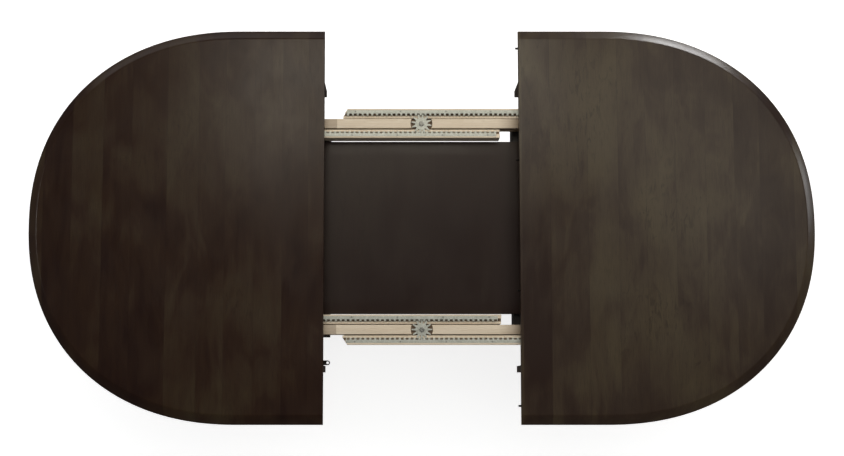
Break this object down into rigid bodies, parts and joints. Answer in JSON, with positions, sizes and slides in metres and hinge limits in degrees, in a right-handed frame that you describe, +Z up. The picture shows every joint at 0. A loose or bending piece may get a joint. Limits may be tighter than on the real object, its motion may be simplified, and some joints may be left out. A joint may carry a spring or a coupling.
{
  "type": "extendable dining table",
  "caption": "Oval pedestal dining table shown open: half tops that slide apart on geared slides, with an empty leaf space, a fixed deck and a lever lock.",
  "frame": {"origin": "on the floor below the table's centre, which is also the pinions' line", "axes": "+X along the table towards the right half, +Y towards the back, +Z up"},
  "size_m": [2.414, 1.219, 0.76],
  "materials": {
    "dark_wood": "satin",
    "pale_wood": "satin",
    "black_wood": "satin",
    "zinc_steel": "satin",
    "black_steel": "satin",
    "black_plastic": "matte"
  },
  "bodies": {
    "base": {"back_centre_rail": "pale_wood", "front_centre_rail": "pale_wood", "pinion_screws": "zinc_steel", "pinion_washers": "zinc_steel", "deck_panel": "dark_wood", "deck_screws": "zinc_steel", "left_outer_cross_rail": "black_wood", "left_inner_cross_rail": "black_wood", "right_inner_cross_rail": "black_wood", "right_outer_cross_rail": "black_wood", "centre_rail_screws": "zinc_steel", "head_screws": "zinc_steel", "left_column_head": "black_wood", "right_column_head": "black_wood", "left_column": "dark_wood", "right_column": "dark_wood", "left_foot": "dark_wood", "right_foot": "dark_wood", "tie_rods": "zinc_steel", "stretcher": "dark_wood", "stretcher_bolts": "zinc_steel", "floor_glides": "black_plastic"},
    "left_top": {"left_top_panel": "dark_wood", "pin_sockets": "black_plastic", "left_apron": "dark_wood", "left_apron_blocks": "pale_wood", "left_spacer_strips": "dark_wood", "left_back_slide": "pale_wood", "left_front_slide": "pale_wood", "left_back_rack": "zinc_steel", "left_front_rack": "zinc_steel", "left_guide_keys": "pale_wood", "left_stop_pegs": "zinc_steel", "left_rack_screws": "zinc_steel", "left_slide_screws": "zinc_steel", "lock_keeper": "black_steel", "left_lock_screws": "zinc_steel"},
    "right_top": {"right_top_panel": "dark_wood", "seam_pins": "black_steel", "right_apron": "dark_wood", "right_apron_blocks": "pale_wood", "right_spacer_strips": "dark_wood", "right_back_slide": "pale_wood", "right_front_slide": "pale_wood", "right_back_rack": "zinc_steel", "right_front_rack": "zinc_steel", "right_guide_keys": "pale_wood", "right_stop_pegs": "zinc_steel", "right_rack_screws": "zinc_steel", "right_slide_screws": "zinc_steel", "lock_bracket": "black_steel", "lock_pin": "black_steel", "right_lock_screws": "zinc_steel"},
    "back_gear": {"back_pinion": "zinc_steel"},
    "front_gear": {"front_pinion": "zinc_steel"},
    "lever": {"lock_lever": "black_steel"}
  },
  "joints": [
    {"name": "left_top_slide", "type": "slide", "parent": "base", "child": "left_top", "axis": [1, 0, 0], "range_m": [-0.02, 0.2997]},
    {"name": "right_top_slide", "type": "slide", "parent": "base", "child": "right_top", "axis": [-1, 0, 0], "range_m": [-0.0201, 0.2998]},
    {"name": "back_pinion_spin", "type": "hinge", "parent": "base", "child": "back_gear", "pos_m": [0, 0.32, 0.725], "axis": [0, 0, 1], "range_deg": [-41, 600.5]},
    {"name": "front_pinion_spin", "type": "hinge", "parent": "base", "child": "front_gear", "pos_m": [0, -0.32, 0.725], "axis": [0, 0, 1], "range_deg": [-600.5, 41]},
    {"name": "lock_turn", "type": "hinge", "parent": "right_top", "child": "lever", "pos_m": [0.342, -0.4215, 0.719], "axis": [0, 1, 0], "range_deg": [0, 90]}
  ],
  "couplings": [
    {"joint": "right_top_slide", "follows": "left_top_slide", "ratio": 1},
    {"joint": "back_pinion_spin", "follows": "left_top_slide", "rad_per_m": 34.907},
    {"joint": "front_pinion_spin", "follows": "left_top_slide", "rad_per_m": -34.907}
  ]
}
